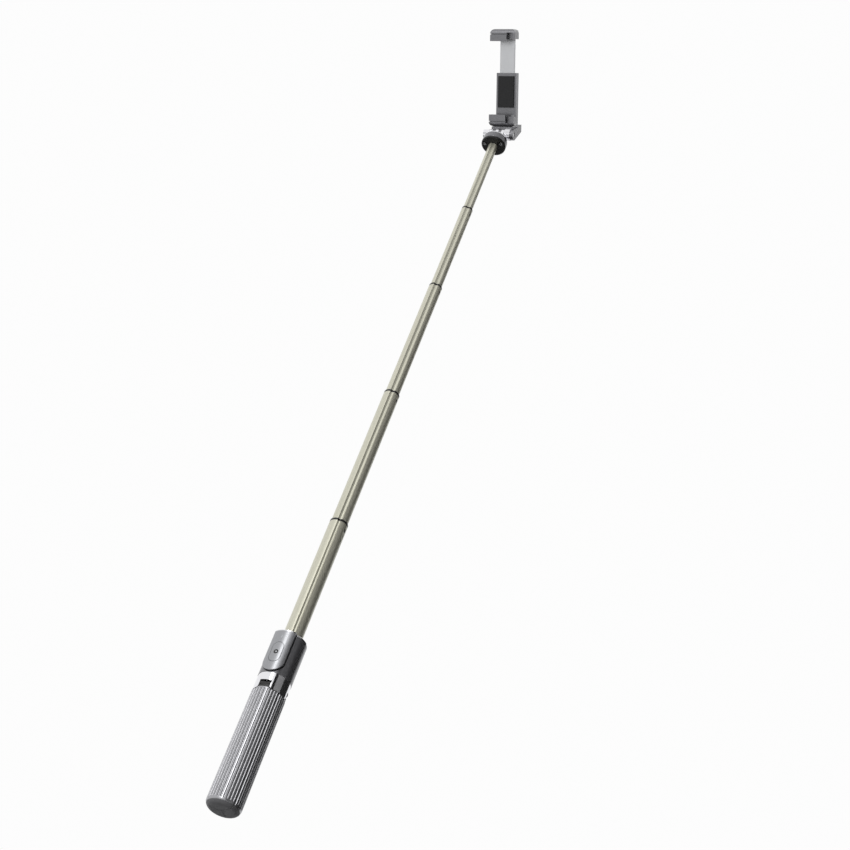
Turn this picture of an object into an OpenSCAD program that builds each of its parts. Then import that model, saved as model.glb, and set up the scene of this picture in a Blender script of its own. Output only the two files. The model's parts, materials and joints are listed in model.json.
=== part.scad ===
// Five-section telescopic selfie stick with a tripod handle, a lift-off shutter remote,
// a swivelling head and a sprung phone holder. Millimetres, +Z up along the pole,
// -Y to the remote's side, origin on the pole's axis at the foot of the closed handle.

/* [Pole] */
// Outside diameter of the widest tube
tube_d = 15; // [14:0.5:16]
// How much thinner each tube is than the one around it
tube_step = 1.6; // [1.4:0.1:1.6]
// Wall thickness of the tubes
tube_wall = 0.5; // [0.4:0.05:0.5]
// Depth of the groove that stops the tubes turning
groove_depth = 1; // [0.6:0.1:1]
// Exposed length of the first tube as drawn
draw_1 = 114.6; // [60:0.1:130]
// Exposed length of the second tube as drawn
draw_2 = 141.2; // [60:0.1:141.2]
// Exposed length of the third tube as drawn
draw_3 = 132; // [60:0.1:140]
// Exposed length of the fourth tube as drawn
draw_4 = 105.1; // [60:0.1:140]
// Exposed length of the fifth tube as drawn, up to the head
draw_5 = 93.4; // [60:0.1:140]

/* [Handle] */
// Length of the closed legs, up to the hub
leg_top = 95.1; // [80:0.1:110]
// Diameter of the closed legs at the top
handle_d = 26; // [25.5:0.1:28]
// Diameter of the closed legs near the feet
handle_foot_d = 26.6; // [26:0.1:29]
// Radius of the rounded foot end
foot_round = 5; // [3:0.5:8]
// Height of the hub between legs and collar
hub_h = 13.3; // [12:0.1:16]
// Height of the collar
collar_h = 36.7; // [34:0.1:45]
// Diameter of the collar
collar_d = 26.2; // [26:0.1:28]
// Number of raised ribs on each leg
ribs = 12; // [8:1:14]

/* [Remote] */
// Width of the remote
remote_w = 17; // [15:0.5:17]
// Travel of the shutter button
button_travel = 0.5; // [0.3:0.1:0.5]

/* [Head] */
// Diameter of the swivelling disc
disc_d = 23.8; // [20:0.2:26]
// Height of the tilt axis above the disc's underside
axis_h = 17.7; // [16:0.1:20]
// Turn of the head about the pole as drawn, in degrees
swivel = 3; // [-180:1:180]

/* [Phone holder] */
// Forward tilt of the holder as drawn, in degrees
tilt = 54; // [0:1:90]
// Distance between the two jaw pads as drawn
grip_gap = 73.5; // [60:0.5:87]
// Width of the jaws
jaw_w = 25; // [24:0.5:30]
// Height of each jaw
jaw_h = 9.4; // [9:0.1:11]
// Depth left for the phone between lips and back pad
phone_t = 8.8; // [7:0.1:9.5]

/* [Hidden] */
$fn = 64;
eps = 0.01;

// Handle levels
hub_gap = 0.4;
hub_z = leg_top + hub_gap;
collar_z = hub_z + hub_h;
rim_h = 1.8;
top_z = collar_z + collar_h;
hub_r = 12.9;
collar_r = collar_d / 2;
bore_r = 8.25;
guide_r = 8.2;
guide_in_r = 7.8;
leg_in_r = 8.2;
foot_floor = 1.5;
foot_h = 2.4;
seam = 0.2;
flute_z = 4.6;
flute_r = 0.95;
flute_out = 0.5;
leg_angles = [-90, 30, 150];

// Leg hinge
pin_pos_r = 10.3;
pin_z = leg_top + 4.9;
pin_r = 0.8;
pin_len = 12.6;
knuckle_r = 1.8;
tongue_w = 8.6;
tongue_h = 2.8;
tongue_fillet = 2.2;
screw_r = 10.6;
slot_clear = 0.35;
ball_r = 1;

// Remote and its dock
remote_r = 14.9;
plate_in_r = 13.7;
dock_y = 9;
remote_y = 9.2;
remote_low = collar_z + 0.8 + remote_w / 2;
remote_top = top_z - 0.2;
button_z = remote_low + 7.4;
button_w = 8.7;
button_h = 17;
magnet_x = 5.9;
magnet_z = button_z + 5;

// Pole levels: the top of each tube's ring, then the head disc's underside
tops = [top_z + draw_1, top_z + draw_1 + draw_2, top_z + draw_1 + draw_2 + draw_3,
    top_z + draw_1 + draw_2 + draw_3 + draw_4,
    top_z + draw_1 + draw_2 + draw_3 + draw_4 + draw_5];
lengths = [152.5, 155, 156.5, 158, 160];
ring_h = 2;
bush_h = 9;
sleeve_h = 4.5;
running = 0.06;
seat = 0.02;
groove_c = tube_d / 2 + 0.6;
groove_turn = 25;
peg_drop = 7.3;
peg_w = 2.2;
peg_h = 3.4;
dimple_drop = 13.6;

// Head
disc_z = tops[4];
disc_h = 7.5;
cap_h = 2.2;
cap_z = disc_z + disc_h;
axis_z = disc_z + axis_h;
prong_t = 3;
prong_pitch = 6;
prong_r = 5;
tilt_pin_r = 2;
post_r = 3.7;
head_screw_x = 8.3;
head_screw_y = -2.4;

// Phone holder, measured upright from the tilt axis
jaw_z = 16.5;
jaw_back = 24.4;
lip_y = 11.8;
lip_h = 2;
face_y = 13.9;
pad_t = 1.2;
arm_x = 10;
arm_back = 30.5;
arm_low = jaw_z - jaw_h;
jaw_mid = -0.8;
recess_x = 4;
recess_w = 6.2;
pad_x = -10.6;
pad_w = 14.4;
cheek_x = 16.4;
cheek_t = 2.8;
arm_top = 58;
slide_x = 7.2;

black = "#1b1b1c";
dark = "#3a3a3c";
gunmetal = "#646466";
silver = "#9c9d9f";
bright = "#e6e6e8";
champagne = "#b0ae9e";
rubber = "#202021";
grey = "#6c6c6e";

function tube_r(i) = tube_d / 2 - tube_step / 2 * i;

// Outline of tube i grown by g, with its groove shrunk to match
module tube_outline(i, g) {
    difference() {
        circle(r = tube_r(i) + g);
        rotate(groove_turn)
            translate([0, -groove_c])
                circle(r = groove_c - tube_r(i) + groove_depth - g);
    }
}

// A stadium or slot in the XZ plane, cut through along Y
module slot_y(w, h, z) {
    rotate([90, 0, 0])
        linear_extrude(40) {
            translate([0, z - h / 2 + w / 2])
                circle(r = w / 2);
            translate([0, z + h / 2 - w / 2])
                circle(r = w / 2);
            translate([-w / 2, z - h / 2 + w / 2])
                square([w, h - w]);
        }
}

module ring(r_out, r_in, z0, z1) {
    translate([0, 0, z0])
        linear_extrude(z1 - z0)
            difference() {
                circle(r = r_out);
                circle(r = r_in);
            }
}

// A round wire coil standing on z = 0
module coil(r, wire, turns, h) {
    steps = 12;
    sides = 6;
    count = turns * steps;
    points = [for (k = [0:count], s = [0:sides - 1])
        let (a = 360 * k / steps, b = 360 * s / sides, q = r + wire * cos(b))
            [q * cos(a), q * sin(a), wire + (h - 2 * wire) * k / count + wire * sin(b)]];
    walls = [for (k = [0:count - 1], s = [0:sides - 1])
        let (t = (s + 1) % sides)
            each [[k * sides + s, k * sides + t, (k + 1) * sides + t],
                [k * sides + s, (k + 1) * sides + t, (k + 1) * sides + s]]];
    low_end = [for (s = [sides - 1:-1:0]) s];
    high_end = [for (s = [0:sides - 1]) count * sides + s];
    polyhedron(points, concat(walls, [low_end, high_end]), convexity = 10);
}

// Tongue outline in the tangent-height plane, standing on z = 0 with filleted shoulders
module tongue_outline(w, h, f) {
    translate([-w / 2, 0])
        square([w, h]);
    difference() {
        translate([-w / 2 - f, -eps])
            square([w + 2 * f, f]);
        for (side = [-1, 1])
            translate([side * (w / 2 + f), f])
                circle(r = f);
    }
}

// Children drawn for the leg centred on +X, repeated for each leg
module each_leg() {
    for (a = leg_angles)
        rotate(a)
            children();
}

module tongue_block(w, z0, h, f, r0, r1) {
    translate([r0, 0, z0])
        rotate([90, 0, 90])
            linear_extrude(r1 - r0)
                tongue_outline(w, h, f);
}

module hub() {
    color(bright)
        difference() {
            ring(hub_r, bore_r, hub_z, collar_z);
            each_leg() {
                tongue_block(tongue_w + 2 * slot_clear, hub_z - eps,
                    pin_z + knuckle_r + slot_clear - hub_z, tongue_fillet, bore_r - 1, hub_r + 1);
                translate([pin_pos_r, 0, pin_z])
                    rotate([90, 0, 0])
                        cylinder(r = pin_r + seat, h = pin_len, center = true);
                translate([pin_pos_r, 0, pin_z])
                    cylinder(r = ball_r + 0.05, h = collar_z - pin_z - 1);
                rotate(60)
                    translate([screw_r, 0, hub_z - eps]) {
                        cylinder(r = 1, h = hub_h + 1);
                        cylinder(r = 1.75, h = 1.5);
                    }
            }
        }
}

module collar_screws() {
    color(silver)
        each_leg()
            rotate(60)
                translate([screw_r, 0, hub_z + 0.2])
                    difference() {
                        union() {
                            cylinder(r = 1.7, h = 1.25);
                            cylinder(r = 0.95, h = 18);
                        }
                        translate([0, 0, -eps])
                            cylinder(r = 0.8, h = 0.7, $fn = 6);
                    }
}

module hinge_pins() {
    color(silver)
        each_leg()
            translate([pin_pos_r, 0, pin_z])
                rotate([90, 0, 0])
                    cylinder(r = pin_r, h = pin_len, center = true);
}

module detent_balls() {
    color(silver)
        each_leg()
            translate([pin_pos_r, 0, pin_z + knuckle_r + ball_r + 0.05])
                sphere(r = ball_r);
}

module detent_springs() {
    color(silver)
        each_leg()
            translate([pin_pos_r, 0, pin_z + knuckle_r + 2 * ball_r + 0.1])
                coil(0.7, 0.16, 3, collar_z - 1.2 - pin_z - knuckle_r - 2 * ball_r);
}

// Shape of the closed bundle of legs from z0 to z1, rounded at the foot
module bundle(z0, z1, in_r) {
    top_r = handle_d / 2;
    low_r = handle_foot_d / 2;
    intersection() {
        rotate_extrude() {
            difference() {
                polygon([[0, foot_round], [low_r, foot_round], [top_r, leg_top], [0, leg_top]]);
                translate([-eps, 0])
                    square([eps, leg_top]);
            }
            square([low_r - foot_round, foot_round]);
            intersection() {
                translate([low_r - foot_round, foot_round])
                    circle(r = foot_round);
                square([low_r, foot_round]);
            }
        }
        ring(20, in_r, z0, z1);
    }
}

// One leg's third of the bundle, with a thin seam on each side
module third(z0, z1, in_r) {
    far = 30;
    apex = seam / sin(60);
    intersection() {
        bundle(z0, z1, in_r);
        linear_extrude(leg_top)
            polygon([[apex, 0], [apex + far, -far * tan(60)], [apex + far, far * tan(60)]]);
    }
}

module leg() {
    taper = atan((handle_foot_d - handle_d) / 2 / (leg_top - foot_round));
    pitch = 120 / ribs;
    color(gunmetal)
        difference() {
            union() {
                third(foot_h, leg_top, leg_in_r);
                intersection() {
                    tongue_block(tongue_w, leg_top, pin_z - leg_top, tongue_fillet, 8, 13);
                    union() {
                        ring(hub_r - 0.1, pin_pos_r - knuckle_r, leg_top - 1, leg_top + tongue_h);
                        ring(pin_pos_r + knuckle_r - 0.2, pin_pos_r - knuckle_r, leg_top, pin_z);
                    }
                }
                translate([pin_pos_r, 0, pin_z])
                    rotate([90, 0, 0])
                        cylinder(r = knuckle_r, h = tongue_w, center = true);
            }
            translate([pin_pos_r, 0, pin_z])
                rotate([90, 0, 0])
                    cylinder(r = pin_r + running, h = 20, center = true);
            for (k = [1:ribs - 1])
                rotate(-60 + k * pitch)
                    translate([handle_foot_d / 2 + flute_out, 0, flute_z])
                        rotate([0, -taper, 0]) {
                            cylinder(r = flute_r, h = leg_top - flute_z + 0.2);
                            sphere(r = flute_r);
                        }
            for (side = [-60, 60])
                rotate(side)
                    translate([handle_foot_d / 2 + flute_out, 0, -1])
                        rotate([0, -taper, 0])
                            cylinder(r = 1.3, h = leg_top + 3);
        }
}

module foot() {
    color(grey)
        difference() {
            third(0, foot_h, 0);
            translate([0, 0, foot_floor])
                cylinder(r = leg_in_r, h = foot_h);
        }
}

module leg_front() rotate(leg_angles[0]) leg();
module leg_right() rotate(leg_angles[1]) leg();
module leg_left() rotate(leg_angles[2]) leg();
module foot_front() rotate(leg_angles[0]) foot();
module foot_right() rotate(leg_angles[1]) foot();
module foot_left() rotate(leg_angles[2]) foot();

module guide_sleeve() {
    color(silver)
        ring(guide_r, guide_in_r, hub_z + 0.2, top_z - 10.2);
}

module collar_bush() {
    color(black)
        translate([0, 0, top_z - 10])
            linear_extrude(9.8)
                difference() {
                    circle(r = guide_r);
                    tube_outline(0, running);
                }
}

// Space that the remote needs in the collar, open to the front and top
module dock() {
    clear = 0.2;
    r = remote_w / 2 + clear;
    translate([0, -dock_y, 0])
        rotate([90, 0, 0])
            linear_extrude(20) {
                translate([0, remote_low])
                    circle(r = r);
                translate([-r, remote_low])
                    square([2 * r, collar_h]);
            }
}

module collar_housing() {
    color(dark)
        difference() {
            ring(collar_r, bore_r, collar_z, top_z - rim_h);
            dock();
            each_leg()
                rotate(60)
                    translate([screw_r, 0, collar_z - eps])
                        cylinder(r = 1, h = 8);
            for (side = [-1, 1])
                translate([side * magnet_x, -dock_y - eps, magnet_z])
                    rotate([-90, 0, 0])
                        cylinder(r = 1.27, h = 1.6);
        }
}

module collar_rim() {
    chamfer = 0.7;
    color(bright)
        difference() {
            rotate_extrude()
                polygon([[bore_r, top_z - rim_h], [collar_r, top_z - rim_h],
                    [collar_r, top_z - chamfer], [collar_r - chamfer, top_z], [bore_r, top_z]]);
            dock();
        }
}

module dock_magnets() {
    color(silver)
        for (side = [-1, 1])
            translate([side * magnet_x, -dock_y + 0.05, magnet_z])
                rotate([-90, 0, 0])
                    cylinder(r = 1.25, h = 1.45);
}

// The remote's outline inset by g, from the back plane outwards
module remote_block(g, y0, y1) {
    r = remote_w / 2 - g;
    translate([0, -y0, 0])
        rotate([90, 0, 0])
            linear_extrude(y1 - y0) {
                translate([0, remote_low])
                    circle(r = r);
                translate([-r, remote_low])
                    square([2 * r, remote_top - g - remote_low]);
            }
}

module remote_front() {
    color(silver)
        difference() {
            intersection() {
                remote_block(0, 8, 16);
                ring(remote_r, plate_in_r, collar_z, top_z);
            }
            slot_y(button_w + 0.6, button_h + 0.6, button_z);
            slot_y(0.9, 2.2, remote_top - 6.3);
        }
}

module remote_back() {
    color(black)
        difference() {
            intersection() {
                remote_block(0.15, remote_y, 16);
                cylinder(r = plate_in_r - seat, h = top_z);
            }
            remote_block(1.2, remote_y + 0.7, 20);
        }
}

module remote_button() {
    flange_r = plate_in_r - 0.2;
    color(silver) {
        difference() {
            intersection() {
                slot_y(button_w, button_h, button_z);
                ring(remote_r + 0.05, flange_r - 0.6, collar_z, top_z);
            }
            translate([0, -remote_r, button_z])
                rotate([90, 0, 0])
                    ring(1.85, 0.75, -0.3, 2);
        }
        intersection() {
            slot_y(button_w + 1.4, button_h + 1.4, button_z);
            ring(flange_r, flange_r - 0.6, collar_z, top_z);
        }
        translate([0, -flange_r + 0.2, button_z])
            rotate([-90, 0, 0])
                cylinder(r = 1, h = flange_r - remote_y - 3.15 - button_travel);
    }
}

module button_ring() {
    color(black)
        translate([0, -remote_r, button_z])
            rotate([90, 0, 0])
                ring(1.8, 0.8, -0.28, 0.06);
}

module indicator_window() {
    color("white")
        intersection() {
            slot_y(0.8, 2.1, remote_top - 6.3);
            ring(remote_r, plate_in_r, collar_z, top_z);
        }
}

module remote_board() {
    color("#1f4a33")
        translate([-6, -remote_y - 1.7, remote_low - 3.6])
            cube([12, 0.6, 19.6]);
}

module dome_switch() {
    color(silver) {
        translate([-2, -remote_y - 2.7, button_z - 2])
            cube([4, 0.98, 4]);
        translate([0, -remote_y - 2.6, button_z])
            rotate([90, 0, 0])
                cylinder(r = 1.2, h = 0.35);
    }
}

module coin_cell() {
    color(silver)
        translate([0, -remote_y - 0.75, remote_top - 6.2]) {
            rotate([90, 0, 0])
                cylinder(r = 4.75, h = 1.9);
            translate([0, -1.89, 0])
                rotate([90, 0, 0])
                    cylinder(r = 4.1, h = 0.4);
        }
}

module remote_keeper() {
    color(silver)
        translate([-7.1, -remote_y - 1.05, magnet_z - 1.5])
            cube([14.2, 0.33, 3]);
}

// Snap peg on a bush's side, or with grow the opening for it in a tube
module peg(z, r0, r1, grow) {
    w = peg_w + 2 * grow;
    h = peg_h + 2 * grow;
    translate([r0, 0, z])
        rotate([90, 0, 90])
            linear_extrude(r1 - r0) {
                square([w, h - w], center = true);
                for (side = [-1, 1])
                    translate([0, side * (h - w) / 2])
                        circle(r = w / 2);
            }
}

module tube(i) {
    top = i < 4 ? tops[i] - ring_h : tops[i] - 0.3;
    color(champagne)
        difference() {
            translate([0, 0, tops[i] - lengths[i]])
                linear_extrude(top - tops[i] + lengths[i])
                    difference() {
                        tube_outline(i, 0);
                        tube_outline(i, -tube_wall);
                    }
            if (i < 4)
                peg(tops[i] - peg_drop, tube_r(i) - 2, tube_r(i) + 1, 0.05);
            if (i == 0)
                translate([tube_r(0) + 3.6, 0, tops[0] - dimple_drop])
                    sphere(r = 3.9);
        }
}

module tube_1() tube(0);
module tube_2() tube(1);
module tube_3() tube(2);
module tube_4() tube(3);
module tube_5() tube(4);

// Guide bush in the top of tube i: a visible ring, a thin skirt and a snap peg
module bush(i) {
    color(black)
        difference() {
            union() {
                translate([0, 0, tops[i] - ring_h])
                    linear_extrude(ring_h)
                        tube_outline(i, 0);
                translate([0, 0, tops[i] - bush_h])
                    linear_extrude(bush_h)
                        tube_outline(i, -tube_wall - seat);
                intersection() {
                    peg(tops[i] - peg_drop, tube_r(i + 1) + 0.1, tube_r(i) + 1, 0);
                    cylinder(r = tube_r(i) - seat, h = tops[i]);
                }
            }
            translate([0, 0, tops[i] - bush_h - 1])
                linear_extrude(bush_h + 2)
                    tube_outline(i + 1, running);
        }
}

module bush_1() bush(0);
module bush_2() bush(1);
module bush_3() bush(2);
module bush_4() bush(3);

// Sliding sleeve around the lower end of tube i
module sleeve(i) {
    color(black)
        translate([0, 0, tops[i] - lengths[i]])
            linear_extrude(sleeve_h)
                difference() {
                    tube_outline(i, 0.24);
                    tube_outline(i, seat);
                }
}

module sleeve_1() sleeve(0);
module sleeve_2() sleeve(1);
module sleeve_3() sleeve(2);
module sleeve_4() sleeve(3);
module sleeve_5() sleeve(4);

module swivel_post() {
    color(silver)
        difference() {
            union() {
                translate([0, 0, disc_z - 10])
                    linear_extrude(9.75)
                        tube_outline(4, -tube_wall - 0.07);
                translate([0, 0, disc_z - 0.29])
                    cylinder(r = post_r, h = 5.3);
            }
            translate([0, 0, disc_z - 6])
                cylinder(r = 1.3, h = 20);
        }
}

module swivel_washer() {
    color(silver)
        ring(4.8, 1.35, disc_z + 5.05, disc_z + 5.75);
}

module swivel_screw() {
    color(silver)
        translate([0, 0, disc_z - 5])
            difference() {
                union() {
                    cylinder(r = 1.25, h = 11.8);
                    translate([0, 0, 10.8])
                        cylinder(r = 2.6, h = 1.4);
                }
                translate([0, 0, 11.4])
                    cylinder(r = 1.1, h = 1.5, $fn = 6);
            }
}

// Children turned about the pole to the drawn swivel
module swivelled() {
    rotate(swivel)
        children();
}

module head_disc() {
    edge = 1;
    seat_z = disc_z + 4.9;
    color(dark)
        swivelled()
            difference() {
                rotate_extrude()
                    polygon([[post_r + running, disc_z], [disc_d / 2 - edge, disc_z],
                        [disc_d / 2, disc_z + edge], [disc_d / 2, cap_z], [5.4, cap_z],
                        [5.4, seat_z], [post_r + running, seat_z]]);
                for (a = [90, 210, 330])
                    rotate(a)
                        translate([5.5, -0.5, disc_z - eps])
                            cube([disc_d / 2, 1, 0.5]);
                for (side = [-1, 1])
                    translate([side * head_screw_x, head_screw_y, disc_z - eps]) {
                        cylinder(r = 1.05, h = disc_h + 1);
                        cylinder(r = 1.7, h = 1);
                    }
            }
}

module head_screws() {
    color(bright)
        swivelled()
            for (side = [-1, 1])
                translate([side * head_screw_x, head_screw_y, disc_z + 0.05])
                    difference() {
                        union() {
                            cylinder(r = 1.6, h = 0.9);
                            cylinder(r = 1, h = disc_h + 1);
                        }
                        translate([0, 0, -eps])
                            cylinder(r = 0.75, h = 0.6, $fn = 6);
                    }
}

// A hinge prong centred on x, its eye on the tilt axis and its foot on the cap
module cap_prong(x) {
    translate([x - prong_t / 2, 0, axis_z])
        rotate([90, 0, 90])
            linear_extrude(prong_t) {
                circle(r = prong_r);
                translate([-prong_r, cap_z + 1 - axis_z])
                    square([2 * prong_r, axis_z - cap_z - 1]);
            }
}

module head_cap() {
    color(bright)
        swivelled()
            difference() {
                union() {
                    rotate_extrude()
                        polygon([[0, cap_z], [disc_d / 2 - 0.2, cap_z],
                            [disc_d / 2 - 0.2, cap_z + 1], [disc_d / 2 - 1.4, cap_z + cap_h],
                            [0, cap_z + cap_h]]);
                    for (k = [-1, 0, 1])
                        cap_prong(k * prong_pitch);
                }
                translate([0, 0, axis_z])
                    rotate([0, 90, 0])
                        cylinder(r = tilt_pin_r + running, h = 40, center = true);
                for (side = [-1, 1])
                    translate([side * head_screw_x, head_screw_y, cap_z - eps])
                        cylinder(r = 1.05, h = 1.2);
            }
}

// The tilt screw: a lobed knob on the left and a plain shank
module tilt_bolt() {
    color(bright)
        swivelled()
            translate([0, 0, axis_z])
                rotate([0, 90, 0]) {
                    translate([0, 0, -8])
                        cylinder(r = tilt_pin_r, h = 24);
                    translate([0, 0, -13.8])
                        linear_extrude(5.9)
                            difference() {
                                circle(r = 4.7);
                                for (a = [0:45:315])
                                    rotate(a)
                                        translate([5.4, 0])
                                            circle(r = 1.2);
                            }
                }
}

module tilt_nut() {
    color(silver)
        swivelled()
            translate([7.7, 0, axis_z])
                rotate([0, 90, 0])
                    difference() {
                        cylinder(r = 5.8, h = 5.5);
                        translate([0, 0, -1])
                            cylinder(r = tilt_pin_r + running, h = 10);
                        for (a = [0:30:330])
                            rotate(a)
                                translate([6.3, 0, -1])
                                    cylinder(r = 0.9, h = 10);
                    }
}

// Children drawn upright from the tilt axis, leaned and turned as drawn
module leaned() {
    swivelled()
        translate([0, 0, axis_z])
            rotate([tilt, 0, 0])
                children();
}

// A block along X from a side outline in the YZ plane
module along_x(x0, x1) {
    translate([x0, 0, 0])
        rotate([90, 0, 90])
            linear_extrude(x1 - x0)
                children();
}

module holder_bracket() {
    inner_t = 2.8;
    plate = arm_low - 0.1;
    color(dark)
        leaned()
            difference() {
                union() {
                    for (side = [-1, 1])
                        along_x(side * prong_pitch / 2 - inner_t / 2,
                            side * prong_pitch / 2 + inner_t / 2) {
                            circle(r = 4.6);
                            polygon([[3, -3.5], [13, 0.5], [13, 5], [1, 4.5]]);
                        }
                    along_x(jaw_mid - jaw_w / 2 + 3, cheek_x)
                        polygon([[12, -0.5], [23, 2], [23, plate], [12, plate]]);
                    along_x(cheek_x - cheek_t, cheek_x) {
                        circle(r = 5.4);
                        polygon([[1, -5.3], [23, 2], [23, plate + 2], [13.6, plate + 2],
                            [12, plate], [-3.6, 4]]);
                    }
                }
                rotate([0, 90, 0])
                    cylinder(r = tilt_pin_r + running, h = 60, center = true);
            }
}

// A jaw's block: rounded on its outer side (z = 0), flat on its grip side (z = jaw_h)
module jaw_block() {
    nose_r = 4;
    end_r = 4.2;
    difference() {
        intersection() {
            along_x(-jaw_w / 2, jaw_w / 2) {
                translate([lip_y + nose_r, nose_r])
                    circle(r = nose_r);
                translate([lip_y + nose_r, 0])
                    square([jaw_back - lip_y - nose_r, jaw_h]);
                translate([lip_y, nose_r])
                    square([nose_r + 1, jaw_h - nose_r]);
                translate([lip_y, jaw_h - 1])
                    square([face_y - lip_y, lip_h + 1]);
            }
            rotate([90, 0, 180])
                linear_extrude(60) {
                    for (side = [-1, 1])
                        translate([side * (jaw_w / 2 - end_r), end_r])
                            circle(r = end_r);
                    translate([-jaw_w / 2, end_r])
                        square([jaw_w, jaw_h]);
                    translate([end_r - jaw_w / 2, 0])
                        square([jaw_w - 2 * end_r, end_r + 1]);
                }
        }
        translate([-jaw_w / 2 - 1, lip_y - 1, 4.4])
            cube([jaw_w / 2 + 1 + recess_x, 4, 0.9]);
        translate([recess_x, lip_y - 1, 3.4])
            cube([recess_w, 7, jaw_h]);
        translate([pad_x - 0.05, lip_y + 0.8, jaw_h - pad_t])
            cube([pad_w + 0.1, jaw_back - lip_y, pad_t + 4]);
    }
}

// Rubber lining of a jaw: grip face and lip
module jaw_pad() {
    translate([pad_x, lip_y + 0.85, jaw_h - pad_t + 0.02])
        difference() {
            cube([pad_w, jaw_back - lip_y - 1, pad_t + lip_h]);
            translate([-1, face_y - lip_y - 0.85, pad_t])
                cube([20, 20, 5]);
            for (k = [0:4])
                translate([1.6 + k * 2.6, 3, pad_t - 0.4])
                    cube([0.7, 20, 1]);
        }
}

module lower_jaw() {
    color(dark)
        leaned()
            translate([jaw_mid, 0, jaw_z - jaw_h])
                jaw_block();
}

module lower_pad() {
    color(rubber)
        leaned()
            translate([jaw_mid, 0, jaw_z - jaw_h])
                jaw_pad();
}

// Puts a jaw at the top, turned over to face the lower one
module turned_over() {
    translate([jaw_mid, 0, jaw_z + grip_gap + jaw_h])
        mirror([0, 0, 1])
            children();
}

module upper_jaw() {
    color(dark)
        leaned()
            turned_over()
                difference() {
                    union() {
                        jaw_block();
                        translate([-slide_x - 2 - jaw_mid, jaw_back - eps, 1])
                            cube([2 * slide_x + 4, 6, jaw_h - 1]);
                    }
                    translate([-slide_x - seat - jaw_mid, 25.8 - seat, 3])
                        cube([2 * slide_x + 2 * seat, 3.3 + 2 * seat, 20]);
                }
}

module upper_pad() {
    color(rubber)
        leaned()
            turned_over()
                jaw_pad();
}

module slide_plate() {
    low = 32;
    high = jaw_z + grip_gap + jaw_h - 3;
    color(bright)
        leaned()
            difference() {
                translate([-slide_x, 25.8, low])
                    cube([2 * slide_x, 3.3, high - low]);
                for (side = [-1, 1])
                    translate([side * 4 - 1.7, 25, low - 1])
                        cube([3.4, 10, 22]);
            }
}

module arm_housing() {
    color(dark)
        leaned()
            difference() {
                translate([-arm_x, jaw_back + 0.02, arm_low])
                    cube([2 * arm_x, arm_back - jaw_back - 0.02, arm_top - arm_low]);
                translate([-slide_x - 0.2, 25.6, 8.5])
                    cube([2 * slide_x + 0.4, 20, arm_top]);
                translate([0, 27.4, 10.2])
                    rotate([0, 90, 0])
                        cylinder(r = 0.62, h = 18, center = true);
                for (side = [-1, 1], z = [13, 50])
                    translate([side * 8.7, arm_back - 4, z])
                        rotate([-90, 0, 0])
                            cylinder(r = 0.8, h = 6);
            }
}

module arm_cover() {
    color(dark)
        leaned()
            difference() {
                translate([-arm_x, arm_back + seat, arm_low])
                    cube([2 * arm_x, 1.5, arm_top - arm_low]);
                for (side = [-1, 1], z = [13, 50])
                    translate([side * 8.7, arm_back - 1, z])
                        rotate([-90, 0, 0])
                            cylinder(r = 0.8, h = 6);
            }
}

module cover_screws() {
    color(silver)
        leaned()
            for (side = [-1, 1], z = [13, 50])
                translate([side * 8.7, arm_back - 3.8, z])
                    rotate([-90, 0, 0]) {
                        cylinder(r = 0.75, h = 5.5);
                        translate([0, 0, 5.35])
                            cylinder(r = 1.25, h = 0.6);
                    }
}

module spring_pin() {
    color(silver)
        leaned()
            translate([0, 27.4, 10.2])
                rotate([0, 90, 0])
                    cylinder(r = 0.6, h = 17.6, center = true);
}

module clamp_springs() {
    color(silver)
        leaned()
            for (side = [-1, 1])
                translate([side * 4, 27.45, 11])
                    coil(1.15, 0.25, 14, 41.5);
}

module back_pad() {
    color(rubber)
        leaned()
            translate([-8, face_y + phone_t, 25])
                cube([16, jaw_back - face_y - phone_t, 30]);
}

hub();
collar_housing();
collar_rim();
collar_bush();
guide_sleeve();
collar_screws();
dock_magnets();
hinge_pins();
detent_balls();
detent_springs();
leg_front();
leg_right();
leg_left();
foot_front();
foot_right();
foot_left();
remote_front();
remote_back();
remote_button();
button_ring();
indicator_window();
remote_board();
dome_switch();
coin_cell();
remote_keeper();
tube_1();
tube_2();
tube_3();
tube_4();
tube_5();
bush_1();
bush_2();
bush_3();
bush_4();
sleeve_1();
sleeve_2();
sleeve_3();
sleeve_4();
sleeve_5();
swivel_post();
swivel_washer();
swivel_screw();
head_disc();
head_cap();
head_screws();
tilt_bolt();
tilt_nut();
holder_bracket();
lower_jaw();
lower_pad();
arm_housing();
arm_cover();
cover_screws();
spring_pin();
back_pad();
clamp_springs();
upper_jaw();
upper_pad();
slide_plate();
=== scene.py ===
"""Looks of a telescopic selfie stick: its frame's shapes, welded and given their finishes."""
import json
import math

import bmesh
import bpy
from mathutils import Matrix, Vector


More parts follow.
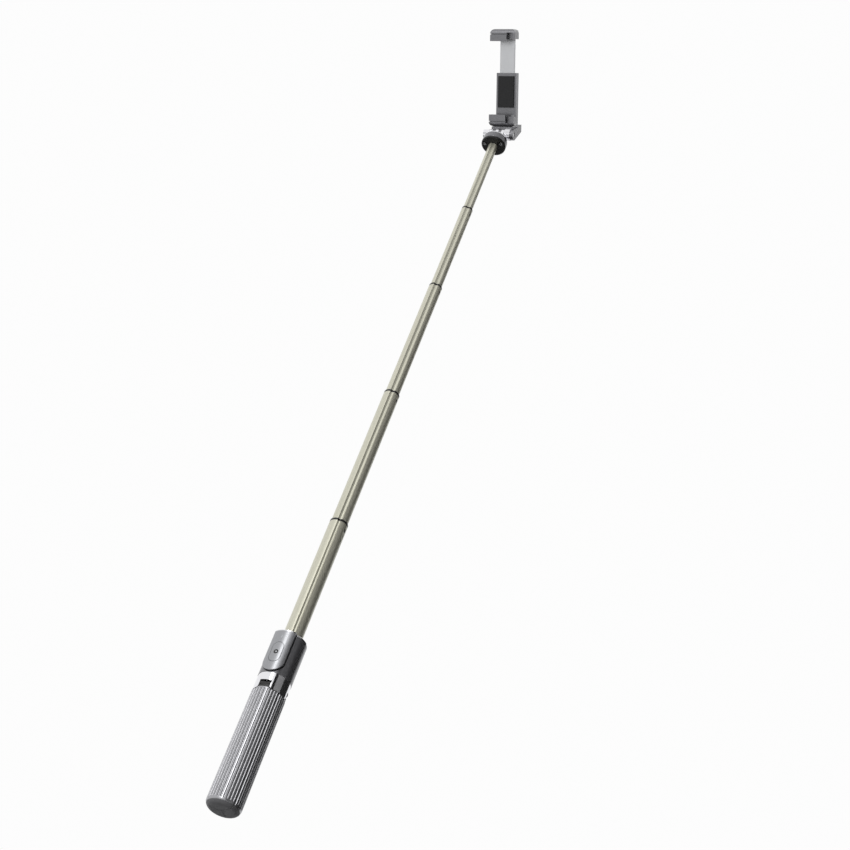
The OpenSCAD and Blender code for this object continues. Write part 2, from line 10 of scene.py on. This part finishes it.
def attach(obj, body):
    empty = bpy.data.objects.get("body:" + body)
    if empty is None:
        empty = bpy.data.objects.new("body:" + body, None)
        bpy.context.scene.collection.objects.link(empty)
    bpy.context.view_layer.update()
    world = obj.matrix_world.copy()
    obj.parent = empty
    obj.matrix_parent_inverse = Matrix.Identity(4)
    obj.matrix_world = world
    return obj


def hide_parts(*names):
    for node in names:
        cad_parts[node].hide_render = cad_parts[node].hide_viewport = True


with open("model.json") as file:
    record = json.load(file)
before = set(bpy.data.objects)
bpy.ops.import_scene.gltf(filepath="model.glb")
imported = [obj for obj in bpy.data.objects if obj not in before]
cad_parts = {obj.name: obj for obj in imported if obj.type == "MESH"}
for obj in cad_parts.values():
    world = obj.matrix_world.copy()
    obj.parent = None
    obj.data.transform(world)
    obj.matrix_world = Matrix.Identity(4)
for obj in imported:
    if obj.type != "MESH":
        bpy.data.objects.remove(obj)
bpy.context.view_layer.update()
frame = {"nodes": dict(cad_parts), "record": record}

bl_info = {
    "name": "Selfie Stick Looks",
    "version": (1, 0, 0),
    "blender": (4, 5, 0),
    "location": "View3D > Sidebar > Selfie Stick",
    "description": "Dresses the selfie stick's frame in finished pieces and materials",
    "category": "Object",
}

NODES = frame["nodes"]
BODY_OF = {node: body for body, nodes in frame["record"]["behaviour"]["bodies"].items() for node in nodes}
SLOT_OF = {row["node"]: row["material_slot"] for row in frame["record"]["subparts"]}
MM = 0.001
WELD = 0.002 * MM
# Cloths that shade the stick's front and right: name, width, azimuth in degrees, distance, colour
CLOTHS = (("cloth_front", 0.285, -59, 0.9, "#050505"), ("cloth_middle", 0.71, -26, 0.8, "#8c8c8c"),
          ("cloth_right", 0.96, 29, 0.8, "#0a0a0a"))
# Height at which a leg's body ends and its hinge knuckle is painted black, as painted shade inside the
# hub's slot
KNUCKLE_SHADE_Z = 96.2 * MM
# Height of the disc's lowest band, painted black as painted shade on its underside
UNDERSIDE_SHADE_H = 1 * MM


# ---------------------------------------------------------------- settings

class StickFinish(bpy.types.PropertyGroup):
    """Colours of the stick, as sRGB hex values."""
    pole: bpy.props.StringProperty(
        name="Pole", description="Anodised colour of the tubes", default="#c6c4b4")
    legs: bpy.props.StringProperty(
        name="Legs", description="Light gunmetal colour of the legs", default="#a6a6a9")
    moulding: bpy.props.StringProperty(
        name="Mouldings", description="Graphite colour of collar, disc and holder", default="#7c7c7f")
    remote: bpy.props.StringProperty(
        name="Remote", description="Silver lacquer of the remote's face", default="#9b9c9f")
    bright: bpy.props.StringProperty(
        name="Bright metal", description="Plated colour of hub, rim and hinge", default="#e9e9ec")
    rubber: bpy.props.StringProperty(
        name="Rubber", description="Colour of the phone pads", default="#1d1d1e")
    feet: bpy.props.StringProperty(
        name="Feet", description="Colour of the grey rubber feet", default="#5e5e60")


class StickEdges(bpy.types.PropertyGroup):
    """The most that each kind of piece has its edges eased; short edges in a shape clamp it lower."""
    moulding: bpy.props.FloatProperty(
        name="Mouldings", description="Largest edge radius of moulded plastic", default=0.00028,
        min=0, max=0.001, unit="LENGTH")
    metal: bpy.props.FloatProperty(
        name="Metal", description="Largest edge radius of turned and stamped metal", default=0.0001,
        min=0, max=0.0005, unit="LENGTH")
    soft: bpy.props.FloatProperty(
        name="Rubber", description="Largest edge radius of rubber pieces", default=0.00035,
        min=0, max=0.001, unit="LENGTH")
    brow: bpy.props.FloatProperty(
        name="Remote's brow", description="Height of the bright-cut top edge of the remote", default=0.0007,
        min=0.0001, max=0.001, unit="LENGTH")


class StickStage(bpy.types.PropertyGroup):
    """Camera, lights and floor."""
    camera: bpy.props.FloatVectorProperty(
        name="Camera", description="Place of the camera", default=(0.563, -0.974, -0.5085),
        subtype="TRANSLATION", unit="LENGTH")
    target: bpy.props.FloatVectorProperty(
        name="Target", description="Point that the camera looks at", default=(-0.0103, 0.0936, 0.453),
        subtype="TRANSLATION", unit="LENGTH")
    roll: bpy.props.FloatProperty(
        name="Roll", description="Turn of the camera about its line of sight", default=math.radians(21.1),
        subtype="ANGLE")
    lens: bpy.props.FloatProperty(
        name="Lens", description="Focal length on a 36 mm sensor", default=73.06, min=20, max=200)
    floor_z: bpy.props.FloatProperty(
        name="Floor", description="Height of the floor below a hand-held stick", default=-1.5,
        unit="LENGTH")
    key: bpy.props.FloatProperty(
        name="Key light", description="Power of the main lamp", default=6, min=0, max=100, unit="POWER")
    sky: bpy.props.FloatProperty(
        name="Studio white", description="Brightness of the white surround", default=0.98, min=0, max=2)


# ---------------------------------------------------------------- materials

def colour(code):
    """Linear RGBA of an sRGB hex value."""
    channels = [int(code[i:i + 2], 16) / 255 for i in (1, 3, 5)]
    linear = [c / 12.92 if c <= 0.04045 else ((c + 0.055) / 1.055) ** 2.4 for c in channels]
    return (*linear, 1)


def add(tree, kind, settings=None, **links):
    """Adds a node, sets its properties and sockets, and links its inputs."""
    made = tree.nodes.new(kind)
    for key, value in (settings or {}).items():
        if isinstance(key, str) and hasattr(made, key):
            setattr(made, key, value)
        else:
            made.inputs[key].default_value = value
    for key, source in links.items():
        tree.links.new(source, made.inputs[key.replace("_", " ")])
    return made


def material(name, base, metallic, roughness, **more):
    """A node material with its principled shader set, and the tree to add detail to."""
    made = bpy.data.materials.new(name)
    made.use_nodes = True
    tree = made.node_tree
    shader = tree.nodes["Principled BSDF"]
    shader.inputs["Base Color"].default_value = base
    shader.inputs["Metallic"].default_value = metallic
    shader.inputs["Roughness"].default_value = roughness
    for key, value in more.items():
        shader.inputs[key.replace("_", " ")].default_value = value
    return made, tree, shader


def surface(tree, shader, stretch, size, strength, depth, rough=None, tint=None):
    """Grain from noise: bump, and a spread of roughness or colour where given.

    stretch scales the grain along X, Y and Z; size is one grain in metres; depth is in metres.
    """
    place = add(tree, "ShaderNodeTexCoord")
    turn = add(tree, "ShaderNodeMapping", {"Scale": stretch}, Vector=place.outputs["Object"])
    grain = add(tree, "ShaderNodeTexNoise", {"Scale": 1 / size, "Detail": 3, "Roughness": 0.55},
                Vector=turn.outputs["Vector"])
    bump = add(tree, "ShaderNodeBump", {"Strength": strength, "Distance": depth},
               Height=grain.outputs["Fac"])
    tree.links.new(bump.outputs["Normal"], shader.inputs["Normal"])
    if rough:
        spread = add(tree, "ShaderNodeMapRange", {"To Min": rough[0], "To Max": rough[1]},
                     Value=grain.outputs["Fac"])
        tree.links.new(spread.outputs["Result"], shader.inputs["Roughness"])
    if tint:
        ramp = add(tree, "ShaderNodeValToRGB", Fac=grain.outputs["Fac"])
        ramp.color_ramp.elements[0].position = 0.35
        ramp.color_ramp.elements[1].position = 0.65
        ramp.color_ramp.elements[0].color = tint[0]
        ramp.color_ramp.elements[1].color = tint[1]
        tree.links.new(ramp.outputs["Color"], shader.inputs["Base Color"])


def shade(tone, factor):
    """A colour made lighter or darker."""
    return (*(min(1, c * factor) for c in tone[:3]), 1)


def anodised_aluminium(finish):
    """Drawn tube, fine-brushed along its length, then anodised: a satin sheen with faint draw lines."""
    tone = colour(finish.pole)
    made, tree, shader = material("anodised_aluminium", tone, 0.55, 0.36)
    surface(tree, shader, (1, 1, 0.012), 0.35 * MM, 0.25, 0.01 * MM, rough=(0.3, 0.44),
            tint=(shade(tone, 0.93), shade(tone, 1.05)))
    return made


def graphite_lacquer(finish):
    """Dark metallic lacquer over moulded ABS, with a hard gloss coat."""
    tone = colour(finish.moulding)
    made, tree, shader = material("graphite_lacquer", tone, 0.7, 0.26)
    surface(tree, shader, (1, 1, 1), 0.3 * MM, 0.1, 0.01 * MM, rough=(0.2, 0.32),
            tint=(shade(tone, 0.94), shade(tone, 1.05)))
    return made


def gunmetal_lacquer(finish):
    """Metallic lacquer sprayed over moulded ABS: fine flake that goes from light to near black."""
    tone = colour(finish.legs)
    made, tree, shader = material("gunmetal_lacquer", tone, 0.85, 0.28)
    surface(tree, shader, (1, 1, 1), 0.3 * MM, 0.1, 0.01 * MM, rough=(0.22, 0.34),
            tint=(shade(tone, 0.94), shade(tone, 1.05)))
    return made


def silver_lacquer(finish):
    """Metallic lacquer over ABS: fine flake under a satin coat."""
    tone = colour(finish.remote)
    made, tree, shader = material("silver_lacquer", tone, 0.8, 0.3)
    surface(tree, shader, (1, 1, 1), 0.25 * MM, 0.15, 0.01 * MM, rough=(0.26, 0.38),
            tint=(shade(tone, 0.94), shade(tone, 1.05)))
    return made


def bright_plating(finish):
    """Bright nickel-chrome plating over moulded ABS: mirror-like with faint polishing haze."""
    tone = colour(finish.bright)
    made, tree, shader = material("bright_plating", tone, 1, 0.1)
    surface(tree, shader, (1, 1, 1), 1.5 * MM, 0.08, 0.01 * MM, rough=(0.06, 0.15))
    return made


def black_acetal(finish):
    """Moulded acetal of bushes and sleeves: matt black with a fine tool texture. Also laid on the legs'
    knuckles and the disc's underside as painted shade.
    """
    tone = colour("#161616")
    made, tree, shader = material("black_acetal", tone, 0, 0.45, IOR=1.48)
    surface(tree, shader, (1, 1, 1), 0.3 * MM, 0.2, 0.01 * MM, rough=(0.38, 0.52),
            tint=(shade(tone, 0.85), shade(tone, 1.2)))
    return made


def silicone_rubber(finish):
    """Moulded silicone rubber: soft matt black with a light bloom."""
    tone = colour(finish.rubber)
    made, tree, shader = material("silicone_rubber", tone, 0, 0.7, IOR=1.41, Sheen_Weight=0.15)
    surface(tree, shader, (1, 1, 1), 0.22 * MM, 0.35, 0.02 * MM, rough=(0.6, 0.8),
            tint=(shade(tone, 0.8), shade(tone, 1.3)))
    return made


def grey_rubber(finish):
    """Moulded thermoplastic rubber of the feet: mid grey, matt, a little worn."""
    tone = colour(finish.feet)
    made, tree, shader = material("grey_rubber", tone, 0, 0.6, IOR=1.45, Sheen_Weight=0.1)
    surface(tree, shader, (1, 1, 1), 0.25 * MM, 0.3, 0.02 * MM, rough=(0.5, 0.7),
            tint=(shade(tone, 0.88), shade(tone, 1.1)))
    return made


def ground_steel(finish):
    """Ground and zinc-plated steel of pins, screws and springs: bright grey, finely scratched."""
    tone = colour("#c3c4c6")
    made, tree, shader = material("ground_steel", tone, 1, 0.3)
    surface(tree, shader, (1, 1, 1), 0.2 * MM, 0.2, 0.005 * MM, rough=(0.24, 0.4),
            tint=(shade(tone, 0.9), shade(tone, 1.03)))
    return made


def circuit_board(finish):
    """Glass-epoxy board under green solder mask: semi-gloss with a weave just showing."""
    tone = colour("#1f5a3a")
    made, tree, shader = material("circuit_board", tone, 0, 0.35, IOR=1.5)
    surface(tree, shader, (1, 0.2, 1), 0.4 * MM, 0.3, 0.01 * MM, rough=(0.3, 0.42),
            tint=(shade(tone, 0.85), shade(tone, 1.15)))
    return made


def frosted_acrylic(finish):
    """Moulded acrylic light guide, frosted on its face: milky and slightly clear."""
    tone = colour("#b9bcc0")
    made, tree, shader = material("frosted_acrylic", tone, 0, 0.4, IOR=1.49)
    surface(tree, shader, (1, 1, 1), 0.15 * MM, 0.3, 0.01 * MM, rough=(0.35, 0.5),
            tint=(shade(tone, 0.95), shade(tone, 1.05)))
    return made


SLOT_MATERIAL = {
    "pole_champagne": anodised_aluminium,
    "leg_lacquer": gunmetal_lacquer,
    "housing_plastic": graphite_lacquer,
    "remote_silver": silver_lacquer,
    "bright_chrome": bright_plating,
    "black_plastic": black_acetal,
    "rubber_black": silicone_rubber,
    "rubber_grey": grey_rubber,
    "steel": ground_steel,
    "board_green": circuit_board,
    "indicator_clear": frosted_acrylic,
}


def finish_for(slot):
    """The material of a slot, made the first time it is asked for."""
    maker = SLOT_MATERIAL[slot]
    return bpy.data.materials.get(maker.__name__) or maker(bpy.context.scene.stick_finish)


# ---------------------------------------------------------------- piece making

def place(bm, name, node, slot=None):
    """Turns a bmesh into a piece that stands for a frame node, with its finish and weighted shading."""
    slot = slot or SLOT_OF[node]
    mesh = bpy.data.meshes.new(name)
    bm.to_mesh(mesh)
    bm.free()
    mesh.shade_smooth()
    piece = bpy.data.objects.new(name, mesh)
    bpy.context.scene.collection.objects.link(piece)
    mesh.set_sharp_from_angle(angle=math.radians(50))
    shading = piece.modifiers.new("even_shading", "WEIGHTED_NORMAL")
    shading.keep_sharp = True
    mesh.materials.append(finish_for(slot))
    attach(piece, BODY_OF[node])
    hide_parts(node)
    return piece


def welded(node):
    """The frame node's shape as one skin with its flat faces joined."""
    bm = bmesh.new()
    bm.from_mesh(NODES[node].data)
    bmesh.ops.remove_doubles(bm, verts=bm.verts, dist=WELD)
    bmesh.ops.dissolve_degenerate(bm, dist=WELD, edges=bm.edges)
    bmesh.ops.dissolve_limit(bm, angle_limit=math.radians(0.3), verts=bm.verts, edges=bm.edges)
    return bm


def ease(bm, radius, steps=2, sharp=30):
    """Rounds a skin's hard edges by up to radius, and by next to nothing where short edges clamp it."""
    hard = [e for e in bm.edges if e.is_manifold and e.calc_face_angle() > math.radians(sharp)]
    if radius and hard:
        bmesh.ops.bevel(bm, geom=hard, offset=radius, offset_type="OFFSET", affect="EDGES",
                        segments=steps, profile=0.5, clamp_overlap=True, material=-1)
    bmesh.ops.triangulate(bm, faces=[f for f in bm.faces if len(f.verts) > 4])
    bmesh.ops.remove_doubles(bm, verts=bm.verts, dist=WELD / 4)
    return bm


def part_of(bm, height, above):
    """Keeps the part of a skin above or below a height and closes the cut."""
    cut = bmesh.ops.bisect_plane(bm, geom=bm.verts[:] + bm.edges[:] + bm.faces[:], dist=WELD / 20,
                                 plane_co=(0, 0, height), plane_no=(0, 0, 1),
                                 clear_inner=above, clear_outer=not above)
    rim = [g for g in cut["geom_cut"] if isinstance(g, bmesh.types.BMEdge) and g.is_boundary]
    bmesh.ops.holes_fill(bm, edges=rim, sides=0)
    bmesh.ops.recalc_face_normals(bm, faces=bm.faces)
    return bm


def split(node, height, radius, low_slot=None, high_slot=None):
    """Replaces a node by two pieces that meet at a height, each with its own finish."""
    place(ease(part_of(welded(node), height, False), radius), node + "_low", node, low_slot)
    place(ease(part_of(welded(node), height, True), radius), node + "_high", node, high_slot)


def dress(nodes, radius, steps=2):
    """Replaces each node by its welded piece, with its edges eased where they can be."""
    for node in nodes:
        place(ease(welded(node), radius, steps), node + "_skin", node)


# ---------------------------------------------------------------- operators

class STICK_OT_legs(bpy.types.Operator):
    """Make the three ribbed tripod legs and their rubber feet"""
    bl_idname = "stick.legs"
    bl_label = "Legs and feet"

    def execute(self, context):
        edges = context.scene.stick_edges
        for node in ("leg_front", "leg_right", "leg_left"):
            # the leg's knuckle above this height gets black plastic as painted shade inside the hub's slot
            split(node, KNUCKLE_SHADE_Z, edges.moulding * 0.6, high_slot="black_plastic")
        dress(["foot_front", "foot_right", "foot_left"], edges.soft)
        return {"FINISHED"}


class STICK_OT_collar(bpy.types.Operator):
    """Make the hub, the collar and its bright rim"""
    bl_idname = "stick.collar"
    bl_label = "Hub and collar"

    def execute(self, context):
        edges = context.scene.stick_edges
        dress(["hub", "collar_rim"], edges.moulding * 0.7)
        dress(["collar_housing"], edges.moulding)
        dress(["collar_bush"], edges.metal)
        return {"FINISHED"}


class STICK_OT_remote(bpy.types.Operator):
    """Make the lift-off shutter remote"""
    bl_idname = "stick.remote"
    bl_label = "Shutter remote"

    def execute(self, context):
        edges = context.scene.stick_edges
        top = max(v.co.z for v in NODES["remote_front"].data.vertices)
        split("remote_front", top - edges.brow, edges.moulding * 0.5, high_slot="bright_chrome")
        dress(["remote_button", "remote_back"], edges.metal)
        dress(["button_ring", "indicator_window"], 0)
        return {"FINISHED"}


class STICK_OT_pole(bpy.types.Operator):
    """Make the five tubes with their bushes and sleeves"""
    bl_idname = "stick.pole"
    bl_label = "Pole"

    def execute(self, context):
        edges = context.scene.stick_edges
        dress([f"tube_{k}" for k in range(1, 6)], edges.metal * 0.8)
        dress([f"bush_{k}" for k in range(1, 5)], edges.metal)
        dress([f"sleeve_{k}" for k in range(1, 6)], 0)
        return {"FINISHED"}


class STICK_OT_head(bpy.types.Operator):
    """Make the swivelling disc, its hinge and the tilt screw"""
    bl_idname = "stick.head"
    bl_label = "Head"

    def execute(self, context):
        edges = context.scene.stick_edges
        base = min(v.co.z for v in NODES["head_disc"].data.vertices)
        # the disc's lowest band gets black plastic as painted shade on its underside
        split("head_disc", base + UNDERSIDE_SHADE_H, edges.moulding, low_slot="black_plastic")
        dress(["head_cap", "tilt_bolt", "tilt_nut"], edges.moulding)
        dress(["head_screws"], edges.metal)
        return {"FINISHED"}


class STICK_OT_holder(bpy.types.Operator):
    """Make the sprung phone holder"""
    bl_idname = "stick.holder"
    bl_label = "Phone holder"

    def execute(self, context):
        edges = context.scene.stick_edges
        dress(["holder_bracket", "lower_jaw", "upper_jaw", "arm_housing", "arm_cover"],
              edges.moulding * 1.3, 3)
        dress(["lower_pad", "upper_pad", "back_pad"], edges.soft * 0.5)
        dress(["slide_plate", "cover_screws"], edges.metal)
        return {"FINISHED"}


class STICK_OT_inner_parts(bpy.types.Operator):
    """Give the inner parts that keep their frame shape their own finishes"""
    bl_idname = "stick.inner_parts"
    bl_label = "Inner parts"

    def execute(self, context):
        for node, thing in NODES.items():
            if not thing.hide_render:
                thing.data.materials.clear()
                thing.data.materials.append(finish_for(SLOT_OF[node]))
        return {"FINISHED"}


def plain_material(name, tone, roughness):
    """A flat studio surface."""
    return material(name, tone, 0, roughness)[0]


def card(name, width, height, azimuth, distance, middle_z, surface_material):
    """An upright studio card facing the stick, at an azimuth in degrees from +X."""
    bm = bmesh.new()
    bmesh.ops.create_grid(bm, x_segments=1, y_segments=1, size=0.5)
    bmesh.ops.scale(bm, verts=bm.verts, vec=(width, height, 1))
    around = Matrix.Rotation(math.radians(azimuth - 90), 4, "Z")
    upright = Matrix.Translation((0, distance, middle_z)) @ Matrix.Rotation(math.radians(90), 4, "X")
    bmesh.ops.transform(bm, matrix=around @ upright, verts=bm.verts)
    mesh = bpy.data.meshes.new(name)
    bm.to_mesh(mesh)
    bm.free()
    made = bpy.data.objects.new(name, mesh)
    mesh.materials.append(surface_material)
    bpy.context.scene.collection.objects.link(made)
    made.visible_camera = False
    return made


def ground_cloth(surface_material):
    """A dark cloth below the stick that keeps light off its undersides."""
    bm = bmesh.new()
    bmesh.ops.create_circle(bm, cap_ends=True, segments=48, radius=1.8)
    bmesh.ops.translate(bm, verts=bm.verts, vec=(-0.7, 1.7, -1.1))
    mesh = bpy.data.meshes.new("ground_cloth")
    bm.to_mesh(mesh)
    bm.free()
    made = bpy.data.objects.new("ground_cloth", mesh)
    mesh.materials.append(surface_material)
    bpy.context.scene.collection.objects.link(made)
    made.visible_camera = False


def lamp(name, power, width, height, azimuth, distance, z, aim_z):
    """A soft rectangular lamp at an azimuth in degrees from +X, aimed at the pole."""
    data = bpy.data.lights.new(name, "AREA")
    data.shape = "RECTANGLE"
    data.size = width
    data.size_y = height
    data.energy = power
    made = bpy.data.objects.new(name, data)
    bpy.context.scene.collection.objects.link(made)
    a = math.radians(azimuth)
    made.location = (distance * math.cos(a), distance * math.sin(a), z)
    aim = Vector((0, 0, aim_z)) - made.location
    made.rotation_euler = aim.to_track_quat("-Z", "Y").to_euler()
    return made


class STICK_OT_stage(bpy.types.Operator):
    """Make the floor, the studio light and the camera"""
    bl_idname = "stick.stage"
    bl_label = "Stage"

    def execute(self, context):
        scene = context.scene
        stage = scene.stick_stage
        scene.view_settings.view_transform = "Standard"
        world = bpy.data.worlds.new("studio_white")
        world.use_nodes = True
        world.node_tree.nodes["Background"].inputs["Color"].default_value = (1, 1, 1, 1)
        world.node_tree.nodes["Background"].inputs["Strength"].default_value = stage.sky
        scene.world = world

        bm = bmesh.new()
        bmesh.ops.create_circle(bm, cap_ends=True, segments=64, radius=6)
        bmesh.ops.translate(bm, verts=bm.verts, vec=(0, 0, stage.floor_z))
        mesh = bpy.data.meshes.new("floor")
        bm.to_mesh(mesh)
        bm.free()
        floor = bpy.data.objects.new("floor", mesh)
        mesh.materials.append(plain_material("pale_floor", colour("#f2f2f2"), 0.7))
        scene.collection.objects.link(floor)

        for name, width, azimuth, distance, tone in CLOTHS:
            card(name, width, 2.6, azimuth, distance, 0.35, plain_material(name, colour(tone), 0.9))
        ground_cloth(plain_material("black_cloth", colour("#050505"), 0.9))
        lamp("key_lamp", stage.key, 0.25, 1.4, -92, 1.2, 0.4, 0.4)

        lens = bpy.data.cameras.new("camera")
        lens.lens = stage.lens
        lens.sensor_width = 36
        lens.clip_start = 0.01
        camera = bpy.data.objects.new("camera", lens)
        scene.collection.objects.link(camera)
        sight = Vector(stage.target) - Vector(stage.camera)
        aimed = sight.to_track_quat("-Z", "Y").to_matrix() @ Matrix.Rotation(stage.roll, 3, "Z")
        camera.matrix_world = Matrix.Translation(stage.camera) @ aimed.to_4x4()
        scene.camera = camera
        return {"FINISHED"}


class STICK_PT_panel(bpy.types.Panel):
    """Lists the steps that build the stick's looks"""
    bl_label = "Selfie Stick"
    bl_idname = "STICK_PT_panel"
    bl_space_type = "VIEW_3D"
    bl_region_type = "UI"
    bl_category = "Selfie Stick"

    def draw(self, context):
        for step in STEPS:
            self.layout.operator(step.bl_idname)


SETTINGS = (StickFinish, StickEdges, StickStage)
STEPS = (STICK_OT_stage, STICK_OT_legs, STICK_OT_collar, STICK_OT_remote, STICK_OT_pole,
         STICK_OT_head, STICK_OT_holder, STICK_OT_inner_parts)


def register():
    for kind in SETTINGS + STEPS + (STICK_PT_panel,):
        bpy.utils.register_class(kind)
    bpy.types.Scene.stick_finish = bpy.props.PointerProperty(type=StickFinish)
    bpy.types.Scene.stick_edges = bpy.props.PointerProperty(type=StickEdges)
    bpy.types.Scene.stick_stage = bpy.props.PointerProperty(type=StickStage)


def unregister():
    del bpy.types.Scene.stick_stage
    del bpy.types.Scene.stick_edges
    del bpy.types.Scene.stick_finish
    for kind in reversed(SETTINGS + STEPS + (STICK_PT_panel,)):
        bpy.utils.unregister_class(kind)


def main():
    register()
    for step in STEPS:
        group, name = step.bl_idname.split(".")
        getattr(getattr(bpy.ops, group), name)()


if __name__ == "__main__":
    main()
